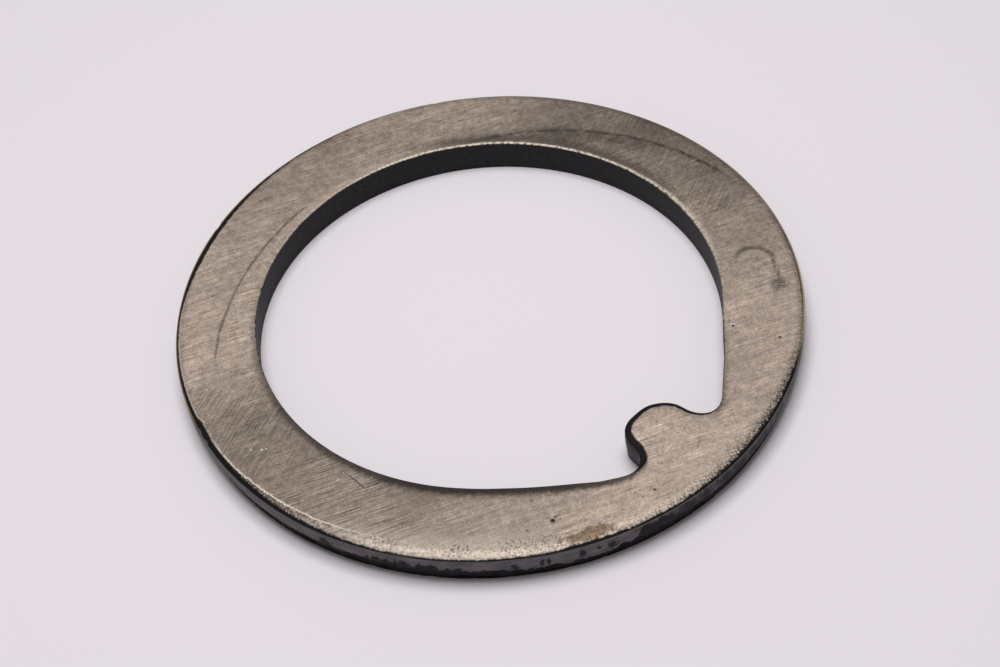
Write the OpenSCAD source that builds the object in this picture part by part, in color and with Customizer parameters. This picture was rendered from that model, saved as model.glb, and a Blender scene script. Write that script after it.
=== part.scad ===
// Key washer of a wheel hub: a flat steel ring, blanked from strip, with one round-nosed key that
// stands in from the bore. It lies between the outer wheel bearing and the hub nut. The key runs
// in the slot of the stub axle, so the bearing can turn without taking the nut with it.
// One piece. The origin is in the middle of the base, +Z is up and the key lies on +X.
// Lengths are in millimetres and angles in degrees.

/* [Ring] */
// Diameter over the rim
ring_d = 60.3; // [57:0.1:66]
// Diameter of the bore
bore_d = 44.8; // [42:0.1:47]
// Thickness between the two faces
ring_t = 3.6; // [2.5:0.1:5]

/* [Key] */
// Width across the round nose of the key
key_w = 6.3; // [5:0.1:7.5]
// How far the nose stands in from the bore
key_h = 2.5; // [2:0.1:4]
// Lean of each flank, which widens the key towards its root
key_lean = 13; // [9:1:17]
// Radius in the corner at each side of the root
root_r = 2.2; // [1.5:0.1:2.6]
// Angle from the key at which the bore runs out into a flat
flat_a = 42; // [39:0.5:46]

/* [Edges] */
// Width of the rolled edge round the rim
rim_roll_w = 0.8; // [0.5:0.1:1.2]
// Depth of the rolled edge round the rim
rim_roll_d = 0.3; // [0.2:0.05:0.5]
// Width of the rolled edge round the bore and the key
bore_roll_w = 0.9; // [0.5:0.1:1.2]
// Depth of the rolled edge round the bore and the key
bore_roll_d = 0.25; // [0.2:0.05:0.5]
// Angle at which a rolled edge meets the ground face
roll_start_a = 5; // [2:1:8]
// Height of the torn band at the foot of the rim
torn_h = 1.9; // [1:0.1:2.4]
// How far the torn band falls back at the base
torn_in = 0.45; // [0.2:0.05:0.6]

/* [Hidden] */
$fn = 180;

rim_r = ring_d / 2;
bore_r = bore_d / 2;
nose_r = key_w / 2;
// How far a cut reaches past the metal
past = 0.5;
// Straight flank that is left between the nose and the root corner, at the least
flank_min = 0.1;
// How far each straight is set inside the arcs that it joins, so that their edges cross cleanly
nip = 0.002;
// How far one stretch of the rolled edge laps the next
lap = 0.3;

// The hole, in plan. One side is worked out here, at +Y, and the other is its mirror image.
// Each direction points out of the hole, square to its edge.
nose_c = [bore_r - key_h + nose_r, 0];
flat_dir = [cos(flat_a), sin(flat_a)];
flank_dir = [sin(key_lean), -cos(key_lean)];
flank_along = [cos(key_lean), sin(key_lean)];
// Distance of each straight from the origin, along its direction
flat_off = bore_r - nip;
flank_off = nose_c * flank_dir - (nose_r - nip);
// Centre of a root corner of radius r, which joins the flat and the flank
function root_centre(r) = crossing(flat_dir, flat_off + nip - r, flank_dir, flank_off + nip - r);
// Point whose distances from the origin along the directions a and b are da and db
function crossing(a, da, b, db) =
    [da * b[1] - db * a[1], db * a[0] - da * b[0]] / (a[0] * b[1] - a[1] * b[0]);
// Length of flank between the nose and a root corner of radius r
function flank_left(r) = (root_centre(r) - nose_c) * flank_along;
// The root corner is limited by the flank: the straight shortens evenly as the radius grows
root_most = (flank_left(0) - flank_min) / (flank_left(0) - flank_left(1));
root_fit_r = min(root_r, root_most);
root_c = root_centre(root_fit_r);
flank_len = flank_left(root_fit_r);

// Ends of the straights, each a hair inside the arc that it joins
flat_start = flat_off * flat_dir;
flat_end = root_c + (root_fit_r - nip) * flat_dir;
flank_start = root_c + (root_fit_r - nip) * flank_dir;
flank_end = nose_c - (nose_r - nip) * flank_dir;
flat_len = norm(flat_end - flat_start);

// Both sides of the key
module both_sides() {
    children();
    mirror([0, 1, 0]) children();
}

// Room beside the key, at +Y: from the bore out to the flat, round the corner and down the flank
module pocket() {
    polygon([[0, 0], flat_start, flat_end, root_c, flank_start + past * flank_dir, nose_c]);
    translate(root_c) circle(root_fit_r);
}

// Plan of the key, which runs out into the ring
module key_plan() {
    out = flank_end + (flank_len + root_fit_r) * flank_along;
    translate(nose_c) circle(nose_r);
    polygon([flank_end, out, [out[0], -out[1]], [flank_end[0], -flank_end[1]]]);
}

// Plan of the whole hole
module hole_plan() {
    difference() {
        union() {
            circle(bore_r);
            both_sides() pocket();
        }
        key_plan();
    }
}

// What a rolled edge takes off, in section: X runs from the wall into the metal and Y up from the
// face. An arc joins the wall, d down, to the face, w in.
module roll_section(w, d) {
    chord = norm([w, d]);
    arc_r = chord / 2 / sin(atan(d / w) - roll_start_a);
    mid_to_centre = sqrt(arc_r * arc_r - chord * chord / 4);
    centre = [w / 2, -d / 2] + mid_to_centre / chord * [d, -w];
    difference() {
        translate([-past, -d - 2 * past]) square([past + centre[0], d + 3 * past]);
        translate(centre) circle(arc_r);
    }
}

// What the torn band takes off the foot of the rim, in section
module torn_section() {
    lean = torn_in / torn_h;
    polygon([
        [rim_r - torn_in - lean * past, -past],
        [rim_r + past, -past],
        [rim_r + past, torn_h + past],
        [rim_r + lean * past, torn_h + past],
    ]);
}

// The blank: a disc with its rolled edge and its torn band, before the hole
module blank() {
    rotate_extrude() difference() {
        square([rim_r, ring_t]);
        translate([rim_r, ring_t]) mirror([1, 0]) roll_section(rim_roll_w, rim_roll_d);
        torn_section();
    }
}

// Roll along a hollow stretch of the hole's edge, which laps the straight at each of its ends
module roll_hollow(centre, r, from_a, turn_a) {
    lap_a = asin(lap / r);
    translate(centre) rotate_extrude(angle = turn_a + 2 * lap_a, start = from_a - lap_a)
        translate([r, ring_t]) roll_section(bore_roll_w, bore_roll_d);
}

// Roll round the nose
module roll_nose() {
    translate(nose_c) rotate_extrude(angle = 180 - 2 * key_lean, start = 90 + key_lean)
        translate([nose_r, ring_t]) mirror([1, 0]) roll_section(bore_roll_w, bore_roll_d);
}

// Roll along a straight stretch, from a point, clockwise round the hole, with the metal towards a
module roll_straight(from, length, a) {
    translate([from[0], from[1], ring_t]) rotate([90, 0, a])
        linear_extrude(length) roll_section(bore_roll_w, bore_roll_d);
}

// The rolled edge of the hole is cut one kind of stretch after another, each off the last result,
// because stretches that lap make one clean edge in that way
flank_a = key_lean - 90;

module holed() {
    difference() {
        blank();
        translate([0, 0, -past]) linear_extrude(ring_t + 2 * past) hole_plan();
    }
}

module bore_rolled() {
    difference() {
        holed();
        roll_hollow([0, 0], bore_r, flat_a, 360 - 2 * flat_a);
    }
}

module flats_rolled() {
    difference() {
        bore_rolled();
        both_sides() roll_straight(flat_start, flat_len, flat_a);
    }
}

module corners_rolled() {
    difference() {
        flats_rolled();
        both_sides() roll_hollow(root_c, root_fit_r, flank_a, flat_a - flank_a);
    }
}

// The flank's stretch laps the nose's
module flanks_rolled() {
    difference() {
        corners_rolled();
        both_sides() roll_straight(flank_start, flank_len + lap, flank_a);
    }
}

module key_washer() {
    color([0.60, 0.56, 0.51]) difference() {
        flanks_rolled();
        roll_nose();
    }
}

key_washer();
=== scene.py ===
"""Key washer of a wheel hub: the worn steel surface that stands for the plain CAD ring.

Sizes are in millimetres in the row frame: the key lies on +X and the base on z = 0. Angles are in
degrees, anticlockwise from +X, seen from above. Colours are as a paint program shows them.
"""

import math

import bpy
import numpy as np
from mathutils import Matrix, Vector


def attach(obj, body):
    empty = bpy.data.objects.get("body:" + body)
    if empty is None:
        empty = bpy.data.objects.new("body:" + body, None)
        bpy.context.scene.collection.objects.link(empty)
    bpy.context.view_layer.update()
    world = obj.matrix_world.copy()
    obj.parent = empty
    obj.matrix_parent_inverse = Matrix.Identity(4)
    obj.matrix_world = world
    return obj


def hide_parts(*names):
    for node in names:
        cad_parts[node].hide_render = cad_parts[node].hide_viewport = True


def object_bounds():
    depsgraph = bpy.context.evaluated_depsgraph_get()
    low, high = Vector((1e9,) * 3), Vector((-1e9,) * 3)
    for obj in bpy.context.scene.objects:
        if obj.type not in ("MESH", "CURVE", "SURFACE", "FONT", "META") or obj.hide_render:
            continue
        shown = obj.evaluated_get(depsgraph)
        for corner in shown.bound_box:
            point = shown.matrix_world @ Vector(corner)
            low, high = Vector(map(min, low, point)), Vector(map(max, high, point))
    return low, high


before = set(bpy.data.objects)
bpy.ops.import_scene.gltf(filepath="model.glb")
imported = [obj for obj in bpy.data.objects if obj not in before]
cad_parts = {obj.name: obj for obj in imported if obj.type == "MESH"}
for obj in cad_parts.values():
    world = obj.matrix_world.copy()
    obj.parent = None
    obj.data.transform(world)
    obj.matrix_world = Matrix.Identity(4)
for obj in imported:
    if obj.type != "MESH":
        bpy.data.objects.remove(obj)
cad_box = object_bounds()

MM = 0.001
SEED = 41

# Radius of the rim and thickness, from the frame
RIM_R = round(cad_box[1][0] / MM, 2)
THICK = round(cad_box[1][2] / MM, 2)
# The other sizes, as in the part's source
BORE_R = 22.4
NOSE_R = 3.15
KEY_H = 2.5
KEY_LEAN = 13.0
ROOT_R = 2.2
FLAT_A = 42.0
# Rolled edges: (width, depth)
RIM_ROLL = (0.8, 0.3)
HOLE_ROLL = (0.9, 0.25)
ROLL_START_A = 5.0
TORN_H = 1.9
TORN_IN = 0.45

# The mesh: stations round the ring, and rows on each stretch of its section
STATIONS = 1200
HOLE_WALL_ROWS = 9
HOLE_ROLL_ROWS = 9
TOP_ROWS = 30
RIM_ROLL_ROWS = 11
SATIN_ROWS = 5
TORN_ROWS = 11
BACK_SHARES = (0.7, 0.3)
# Radius to which the sharp corners of the section are worn, and how far a roll is eased in there
WORN = 0.035
EASE = 0.4 * WORN
# Stations, to each side, over which the rim's are evened out
EVEN_OUT = 6
# Points on each arc of the hole's edge, before they are spaced evenly
ARC_POINTS = 1500
# Stations whose distance from the hole's edge is worked out at a time
BATCH = 100
# Slack where heights are compared
NUDGE = 0.001

# Where the hole's edge, as cut and worn, leaves its plan: (x, y, reach, shift into the metal)
HOLE_WEAR = [
    (19.0, -12.4, 7.0, 0.20),
    (24.3, -6.3, 2.4, -0.32),
    (20.8, -2.3, 2.0, -0.22),
    (19.9, 0.0, 1.5, 0.10),
    (21.8, 3.0, 2.2, -0.12),
    (24.4, 4.8, 2.0, 0.24),
    (20.4, 10.9, 5.5, 0.17),
]
# How far the foot of the hole's wall is torn back, up to what height, and more beside the key:
# (x, y, reach, depth)
HOLE_FOOT = 0.10
FOOT_TOP = 2.2
KEY_FOOT = [(22.6, -3.1, 3.0, 0.42), (22.6, 3.1, 3.0, 0.30), (20.0, 0.0, 2.5, 0.10)]
# How much deeper than plain the torn band of the rim lies at its foot, and how deep its teeth are.
# They fade out towards the band's top and foot, but at the very foot a share is left.
TORN_MORE = 0.10
TEETH = 0.13
TEETH_FADE_TOP = 0.5
TEETH_FADE_FOOT = 0.2
TEETH_LEAST = 0.3
# How far the rim is out of round, as blanked, and the scale and shift of the noise that says where
OUT_OF_ROUND = 0.03
ROUND_SCALE, ROUND_SHIFT = 3, 5
# Pits in the rolled edge: depth, level of the noise over which they begin, how they fade towards
# the wall, where a share is left, and towards the face
ROLL_PITS = 0.05
ROLL_PITS_LEVEL = 0.25
PITS_FADE_WALL, PITS_FADE_FACE = 0.15, 0.2
PITS_LEAST = 0.2
# Depths of the waves in the satin band, the hole's wall and the face
SATIN_WAVE = 0.008
WALL_WAVE = 0.012
FACE_WAVE = 0.006
# The wall's begin this high, and the face's this far under the face
WALL_WAVE_FROM = 0.05
FACE_DOWN = 0.12
# Noises of the wear: (stretch in x, y and z, scale, octaves)
TEETH_NOISE = ((1, 1, 1.6), 1.1, 3)
ROLL_NOISE = ((1, 1, 1), 2.6, 3)
SATIN_NOISE = ((1, 1, 0.15), 1.5, 2)
WALL_NOISE = ((1, 1, 0.4), 1.4, 3)
FACE_NOISE = ((1, 1, 1), 0.35, 2)
OCTAVE_SCALE, OCTAVE_GAIN = 2.1, 0.5
# Chips in the foot of the rim's rolled edge: (angle, half width, depth), their half height, and
# how far the roll over them sinks, as a share of the depth, above a height
RIM_CHIPS = [
    (-113.9, 0.35, 0.12),
    (-104.5, 0.55, 0.16),
    (-101.6, 0.45, 0.13),
    (148.0, 0.4, 0.05),
    (203.0, 0.6, 0.06),
]
CHIP_HALF_H = 0.55
CHIP_SINK, CHIP_SINK_FROM = 0.5, 3.0
# Pits in the face: (radius from the axis, angle, size, depth), and their reach as a share of size
FACE_PITS = [
    (26.95, -30.7, 0.26, 0.10),
    (26.65, -30.1, 0.18, 0.05),
    (24.42, -33.8, 0.16, 0.05),
    (27.66, -10.8, 0.20, 0.06),
    (27.71, -13.4, 0.15, 0.04),
    (27.51, -35.5, 0.14, 0.04),
    (23.55, 35.0, 0.16, 0.06),
    (28.0, 33.3, 0.15, 0.04),
]
PIT_REACH = 1.3


def unit(a):
    """Direction at an angle, in degrees."""
    a = np.radians(a)
    return np.stack([np.cos(a), np.sin(a)], -1)


# Noise for the shape


class Lattice:
    """Smooth noise, from -1 to 1, that repeats every 32 cells."""

    SIZE = 32

    def __init__(self, seed):
        self.table = np.random.default_rng(seed).uniform(-1, 1, (self.SIZE,) * 3)

    def __call__(self, x, y, z=0.0):
        p = np.stack(np.broadcast_arrays(x, y, z), -1).astype(float)
        cell = np.floor(p).astype(int)
        f = p - cell
        f = f * f * (3 - 2 * f)
        total = np.zeros(p.shape[:-1])
        for corner in np.ndindex(2, 2, 2):
            i, j, k = np.moveaxis((cell + corner) % self.SIZE, -1, 0)
            weight = np.prod(np.where(np.array(corner) == 1, f, 1 - f), -1)
            total += weight * self.table[i, j, k]
        return total


def fractal(noise, p, stretch, scale, octaves):
    """Noise at p (points in mm), with finer and weaker octaves on top."""
    p = p * stretch
    total, gain = 0.0, 1.0
    for _ in range(octaves):
        total = total + gain * noise(*(p * scale).T)
        scale, gain = scale * OCTAVE_SCALE, gain * OCTAVE_GAIN
    return total


# Outline of the hole, and section of the ring


def hole_outline(count):
    """Points on the hole's edge, evenly spaced from the side opposite the key, and the directions
    into the metal there."""
    lean = math.radians(KEY_LEAN)
    nose_c = np.array([BORE_R - KEY_H + NOSE_R, 0.0])
    flat_dir = unit(FLAT_A)
    flank_dir = np.array([math.sin(lean), -math.cos(lean)])
    offsets = [BORE_R - ROOT_R, nose_c @ flank_dir - NOSE_R - ROOT_R]
    root_c = np.linalg.solve([flat_dir, flank_dir], offsets)
    mirror = np.array([1, -1])
    side_a = 90 - KEY_LEAN
    # (centre, radius, from angle, to angle): the straights lie between the arcs' ends
    arcs = [
        ((0, 0), BORE_R, -180, -FLAT_A),
        (root_c * mirror, ROOT_R, -FLAT_A, side_a),
        (nose_c, -NOSE_R, side_a, -side_a),
        (root_c, ROOT_R, -side_a, FLAT_A),
        ((0, 0), BORE_R, FLAT_A, 180),
    ]
    points, normals = [], []
    for centre, r, a0, a1 in arcs:
        n = unit(np.linspace(a0, a1, ARC_POINTS))
        points.append(np.array(centre) + r * n)
        normals.append(n)
    points, normals = np.concatenate(points), np.concatenate(normals)
    along = np.concatenate([[0], np.cumsum(np.hypot(*np.diff(points, axis=0).T))])
    want = np.arange(count) / count * along[-1]
    points = np.stack([np.interp(want, along, c) for c in points.T], -1)
    normals = np.stack([np.interp(want, along, c) for c in normals.T], -1)
    return points, normals / np.hypot(*normals.T)[:, None]


def roll_curve(w, d, steps):
    """A rolled edge in section, from the wall, d down, to the face, w in: (in from the wall, up
    from the face)."""
    chord = math.hypot(w, d)
    half = math.atan2(d, w) - math.radians(ROLL_START_A)
    r = chord / 2 / math.sin(half)
    to_centre = math.sqrt(r * r - chord * chord / 4) / chord
    top = math.pi / 2 + math.radians(ROLL_START_A)
    a = np.linspace(top + 2 * half, top, steps)
    centre = np.array([w / 2 + to_centre * d, -d / 2 - to_centre * w])
    curve = centre + r * np.stack([np.cos(a), np.sin(a)], -1)
    curve[0, 0] += EASE
    return curve


def section():
    """Rows round the section. Each is (kind, distance into the metal or share of the way, height),
    where kind is hole, across, rim or back."""
    hole_roll_foot, rim_roll_foot = THICK - HOLE_ROLL[1], THICK - RIM_ROLL[1]
    rows = [("hole", WORN, 0.0)]
    rows += [("hole", 0.0, z) for z in np.linspace(WORN, hole_roll_foot - WORN, HOLE_WALL_ROWS)]
    rows += [("hole", d, THICK + z) for d, z in roll_curve(*HOLE_ROLL, HOLE_ROLL_ROWS)]
    rows += [("across", s, THICK) for s in np.linspace(0, 1, TOP_ROWS + 2)[1:-1]]
    rows += [("rim", d, THICK + z) for d, z in roll_curve(*RIM_ROLL, RIM_ROLL_ROWS)[::-1]]
    rows += [("rim", 0.0, z) for z in np.linspace(rim_roll_foot - WORN, TORN_H, SATIN_ROWS)]
    torn = np.linspace(TORN_H, WORN, TORN_ROWS + 1)[1:]
    rows += [("rim", TORN_IN * (1 - z / TORN_H), z) for z in torn]
    rows.append(("rim", TORN_IN + WORN, 0.0))
    rows += [("back", s, 0.0) for s in BACK_SHARES]
    return rows


def swells(edge, places):
    """Smooth bumps along the edge: each falls to nothing at its reach."""
    total = np.zeros(len(edge))
    for x, y, reach, height in places:
        near = np.clip(1 - np.hypot(*(edge - (x, y)).T) / reach, 0, 1)
        total += height * near * near * (3 - 2 * near)
    return total


def rim_angles(ring):
    """The rim's stations: at the angles of the ring's points, evened out a little."""
    a = np.degrees(np.unwrap(np.arctan2(ring[:, 1], ring[:, 0])))
    even = -180 + 360 * np.arange(STATIONS) / STATIONS
    off = a - even
    span = np.arange(-EVEN_OUT, EVEN_OUT + 1)
    return even + off[(np.arange(STATIONS)[:, None] + span) % STATIONS].mean(1)


class Ring:
    """The rows of the mesh, and the wear on them."""

    def __init__(self):
        plan, self.into = hole_outline(STATIONS)
        self.foot = HOLE_FOOT + swells(plan, KEY_FOOT)
        self.edge = plan + swells(plan, HOLE_WEAR)[:, None] * self.into
        self.face_from = self.edge + HOLE_ROLL[0] * self.into
        self.out_a = rim_angles(self.face_from)
        self.out = unit(self.out_a)
        self.noise = Lattice(SEED)
        self.rough = Lattice(SEED + 1)
        around = ROUND_SCALE * self.out + ROUND_SHIFT
        self.swell = OUT_OF_ROUND * self.noise(*around.T) - OUT_OF_ROUND

    def plain_row(self, kind, d, z):
        """A row in plan, before the wear."""
        if kind == "hole":
            torn = self.foot * np.clip(1 - z / FOOT_TOP, 0, 1)
            return self.edge + (d + torn)[:, None] * self.into
        if kind == "rim":
            return (RIM_R - d + self.swell)[:, None] * self.out
        if kind == "across":
            start, end = self.face_from, (RIM_R - RIM_ROLL[0]) * self.out
        else:
            start = self.edge + self.foot[:, None] * self.into
            end = (RIM_R - TORN_IN - WORN) * self.out
        return start + d * (end - start)

    def edge_distance(self, xy):
        """How far each point of a row lies from the hole's edge."""
        near = np.zeros(STATIONS)
        for i in range(0, STATIONS, BATCH):
            gap = xy[i : i + BATCH, None] - self.edge[None]
            near[i : i + BATCH] = np.sqrt((gap**2).sum(-1).min(1))
        return near

    def wear(self, kind, d, z, p):
        """Wears a row's points in place."""
        near_face = z > THICK - FACE_DOWN
        if kind == "rim":
            self.wear_rim(d, z, p)
            self.chip_rim(z, p)
        if kind == "hole" and WALL_WAVE_FROM < z < THICK - HOLE_ROLL[1]:
            wave = WALL_WAVE * (1 + fractal(self.rough, p, *WALL_NOISE))
            p[:, :2] += wave[:, None] * self.into
        if kind == "across" or (kind in ("hole", "rim") and near_face):
            self.wear_face(p)

    def wear_rim(self, d, z, p):
        """The torn band breaks back in steps, the rolled edge is pitted, and the satin band between
        them is a little uneven."""
        if z <= TORN_H - NUDGE:
            tear = np.clip(fractal(self.rough, p, *TEETH_NOISE), 0, 1)
            fade = min(1.0, (TORN_H - z) / TEETH_FADE_TOP)
            fade *= min(1.0, z / TEETH_FADE_FOOT + TEETH_LEAST)
            p[:, :2] -= (fade * (TORN_MORE + TEETH * tear))[:, None] * self.out
        elif z > THICK - RIM_ROLL[1] - NUDGE:
            pits = np.clip(fractal(self.noise, p, *ROLL_NOISE) - ROLL_PITS_LEVEL, 0, 1)
            share = np.clip(d / PITS_FADE_WALL, PITS_LEAST, 1)
            share *= np.clip((RIM_ROLL[0] - d) / PITS_FADE_FACE, 0, 1)
            p[:, 2] -= ROLL_PITS * pits * share
        else:
            wave = SATIN_WAVE * (1 + fractal(self.rough, p, *SATIN_NOISE))
            p[:, :2] -= wave[:, None] * self.out

    def chip_rim(self, z, p):
        turn = 2 * math.pi * RIM_R
        up = np.clip(1 - abs(z - (THICK - RIM_ROLL[1])) / CHIP_HALF_H, 0, 1)
        for at, half, depth in RIM_CHIPS:
            off = (np.radians(self.out_a - at) * RIM_R + turn / 2) % turn - turn / 2
            near = np.clip(1 - (off / half) ** 2, 0, 1) * up
            p[:, :2] -= (depth * near)[:, None] * self.out
            if z > CHIP_SINK_FROM:
                p[:, 2] -= CHIP_SINK * depth * near

    def wear_face(self, p):
        """The ground face waves a little, and has pits."""
        p[:, 2] -= FACE_WAVE + FACE_WAVE * fractal(self.noise, p, *FACE_NOISE)
        for r, at, size, depth in FACE_PITS:
            far = np.hypot(*(p[:, :2] - r * unit(at)).T)
            p[:, 2] -= depth * np.clip(1 - (far / (PIT_REACH * size)) ** 2, 0, 1)


def washer_mesh():
    """The washer's vertices, faces and the vertices' distance from the hole's edge."""
    rows, ring = section(), Ring()
    verts = np.zeros((len(rows), STATIONS, 3))
    hole_d = np.zeros((len(rows), STATIONS))
    for j, (kind, d, z) in enumerate(rows):
        verts[j, :, :2] = ring.plain_row(kind, d, z)
        verts[j, :, 2] = z
        hole_d[j] = d if kind == "hole" else ring.edge_distance(verts[j, :, :2])
        ring.wear(kind, d, z, verts[j])
    j, i = np.meshgrid(np.arange(len(rows)), np.arange(STATIONS), indexing="ij")
    next_j, next_i = (j + 1) % len(rows) * STATIONS, (i + 1) % STATIONS
    j = j * STATIONS
    faces = np.stack([j + i, next_j + i, next_j + next_i, j + next_i], -1)
    return verts.reshape(-1, 3), faces.reshape(-1, 4), hole_d.reshape(-1)


def make_washer(material):
    verts, faces, hole_d = washer_mesh()
    mesh = bpy.data.meshes.new("washer_metal")
    mesh.from_pydata(verts * MM, [], faces)
    mesh.update()
    attribute = mesh.attributes.new("hole_d", "FLOAT", "POINT")
    attribute.data.foreach_set("value", hole_d.astype(np.float32))
    mesh.polygons.foreach_set("use_smooth", np.ones(len(faces), bool))
    mesh.materials.append(material)
    piece = bpy.data.objects.new("washer_metal", mesh)
    bpy.context.scene.collection.objects.link(piece)
    return piece


# Tools for the material

# An oval mark is full up to this share of its size
STROKE_CORE = 0.4
# Noises that the layers share: (scale, detail, roughness)
FINE = (3.2, 4, 0.6)
GRAIN = (9.0, 3, 0.6)
PATCH = (0.45, 3, 0.55)
MOTTLE = (1.5, 4, 0.6)
SPECKLE = (4.5, 3, 0.7)


class Shader:
    """Short names for the nodes that a procedural material needs. Every value is an output socket
    or a plain number."""

    def __init__(self, name):
        self.material = bpy.data.materials.new(name)
        self.material.use_nodes = True
        self.nodes = self.material.node_tree.nodes
        self.links = self.material.node_tree.links
        self.surface = self.nodes["Principled BSDF"]

    def add(self, kind, *values, out=0, **settings):
        node = self.nodes.new("ShaderNode" + kind)
        for key, value in settings.items():
            setattr(node, key, value)
        for socket, value in zip(node.inputs, values):
            self.feed(socket, value)
        return node.outputs[out]

    def feed(self, socket, value):
        if isinstance(value, bpy.types.NodeSocket):
            self.links.new(value, socket)
        elif value is not None:
            socket.default_value = value

    def math(self, op, *values):
        return self.add("Math", *values, operation=op)

    def mul(self, a, b):
        return self.math("MULTIPLY", a, b)

    def plus(self, a, b):
        return self.math("ADD", a, b)

    def minus(self, a, b):
        return self.math("SUBTRACT", a, b)

    def most(self, a, b):
        return self.math("MAXIMUM", a, b)

    def inverse(self, a):
        return self.minus(1.0, a)

    def sway(self, weight, noise):
        """A noise, from 0 to 1, as a swing about 0."""
        return self.mul(weight, self.minus(noise, 0.5))

    def ramp(self, x, low, high, at_low=0.0, at_high=1.0):
        """Smooth step from at_low, where x is low, to at_high, where x is high. Low may be the
        greater of the two."""
        return self.add("MapRange", x, low, high, at_low, at_high, interpolation_type="SMOOTHSTEP")

    def fall(self, x, low, high):
        """1 where x is under low, and 0 where it is over high."""
        return self.ramp(x, low, high, 1.0, 0.0)

    def ridge(self, x, half, reach):
        """1 where x is within half of 0, and 0 beyond reach."""
        return self.fall(self.math("ABSOLUTE", x), half, reach)

    def scale(self, vector, factors):
        return self.add("VectorMath", vector, factors, operation="MULTIPLY")

    def turned(self, vector, degrees):
        """The point's coordinates along and across a direction in the plane of the face."""
        turn = math.radians(-degrees)
        return self.add("VectorRotate", vector, None, None, turn, rotation_type="Z_AXIS")

    def noise(self, vector, scale, detail, rough):
        return self.add("TexNoise", vector, None, scale, detail, rough)

    def distance(self, vector, x, y):
        """Distance in plan from a point."""
        flat = self.scale(vector, (1, 1, 0))
        return self.add("VectorMath", flat, (x, y, 0), operation="DISTANCE", out=1)

    def blob(self, vector, r, a, inner, outer):
        """1 within inner of the point at radius r and angle a, and 0 beyond outer."""
        return self.fall(self.distance(vector, *(r * unit(a))), inner, outer)

    def blobs(self, vector, places):
        """Blobs at several places, each (radius, angle, inner, outer, strength)."""
        total = 0.0
        for r, a, inner, outer, strength in places:
            total = self.most(total, self.mul(strength, self.blob(vector, r, a, inner, outer)))
        return total

    def stroke(self, vector, x, y, a, half, wide, warp=0.0):
        """An oval mark: 1 along its middle and 0 outside, with its long axis at angle a."""
        place = (x, y, 0), (0, 0, math.radians(a)), (half, wide, 1)
        flat = self.scale(self.add("Mapping", vector, *place, vector_type="TEXTURE"), (1, 1, 0))
        away = self.add("VectorMath", flat, operation="LENGTH", out=1)
        return self.fall(self.plus(away, warp), STROKE_CORE, 1.0)

    def profile(self, x, stops):
        """A value that follows (x, value) stops, and keeps the end values beyond them."""
        low, high = stops[0][0], stops[-1][0]
        most = max(value for _, value in stops)
        node = self.nodes.new("ShaderNodeValToRGB")
        ramp = node.color_ramp
        while len(ramp.elements) < len(stops):
            ramp.elements.new(0.5)
        for element, (place, value) in zip(ramp.elements, stops):
            element.position = (place - low) / (high - low)
            element.color = (value / most, value / most, value / most, 1.0)
        self.links.new(self.add("MapRange", x, low, high, 0.0, 1.0), node.inputs[0])
        return self.mul(most, node.outputs[0])

    def mix(self, share, a, b):
        """Colour a where share is 0 and b where it is 1."""
        node = self.nodes.new("ShaderNodeMix")
        node.data_type = "RGBA"
        self.feed(node.inputs[0], share)
        self.feed(node.inputs[6], a)
        self.feed(node.inputs[7], b)
        return node.outputs[2]

    def blend(self, share, a, b):
        """Number a where share is 0 and b where it is 1."""
        return self.add("Mix", share, None, a, b)


class Places:
    """Where a point of the surface lies, in mm and degrees, and the noises that layers share."""

    def __init__(self, s):
        self.point = s.scale(s.add("TexCoord", out=3), (1 / MM, 1 / MM, 1 / MM))
        xyz = s.nodes.new("ShaderNodeSeparateXYZ")
        s.links.new(self.point, xyz.inputs[0])
        self.x, self.y, self.z = xyz.outputs
        self.rim_d = s.minus(RIM_R, s.distance(self.point, 0, 0))
        self.hole_d = s.add("Attribute", attribute_name="hole_d", out=2)
        self.down = s.minus(THICK, self.z)
        self.angle = s.mul(math.degrees(1), s.math("ARCTAN2", self.y, self.x))
        self.fine = s.noise(self.point, *FINE)
        self.grain = s.noise(self.point, *GRAIN)
        self.patch = s.noise(self.point, *PATCH)
        self.mottle = s.noise(self.point, *MOTTLE)
        self.speckle = s.noise(self.point, *SPECKLE)


def rgb(r, g, b):
    """A colour as a paint program shows it, 0 to 255, for a shader."""
    linear = [((c / 255 + 0.055) / 1.055) ** 2.4 if c > 10 else c / 255 / 12.92 for c in (r, g, b)]
    return (*linear, 1.0)


OXIDE = rgb(24, 24, 26)
# Bare worn metal; on the hole's lip it also serves as a painted highlight
BARE_AND_LIP_HIGHLIGHT = rgb(214, 202, 188)

# In the layers below, two numbers after a name with _RANGE, _EDGE or _A are where a smooth step
# begins and ends, in the noise, in mm or in degrees. Two more are its values there.

# The ground face

GROUND = rgb(158, 143, 131)
GROUND_DARK = rgb(85, 74, 67)
GROUND_BRIGHT = rgb(208, 193, 179)
# Sets of ground lines: (direction, scale along them, scale across them, detail, roughness)
LINES = (66.0, 0.22, 8.5, 3, 0.6)
COARSE = (73.0, 0.13, 3.0, 3, 0.6)
SPARSE = (66.0, 0.28, 7.0, 1, 0.5)
HATCH = (114.0, 0.22, 8.0, 3, 0.6)
# Where the second set is strong, and where the first is: (radius, angle, inner, outer, strength)
HATCHED = [(26.5, -100, 3, 9, 1.0), (25.0, 78, 2, 5, 1.0), (27.5, 103, 4, 9, 0.7)]
HATCH_LEAST = 0.15
LINED = [(26.5, -70, 3, 9, 0.6)]
LINED_RANGE = (0.40, 0.60, 0.45, 1.0)
# What each noise adds to the tone, and what single bright and dark lines add
LINES_SHARE, COARSE_SHARE, HATCH_SHARE = 1.35, 0.65, 1.55
MOTTLE_SHARE, FINE_SHARE, GRAIN_SHARE = 0.75, 0.55, 1.0
BRIGHT_LINES_RANGE = (0.64, 0.72, 0.0, 0.18)
DARK_LINES_RANGE = (0.35, 0.27, 0.0, 0.18)
# What the lines, the fine noise and the single lines add to the relief
RELIEF_SHARES = (0.5, 0.3, 0.2)
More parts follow.
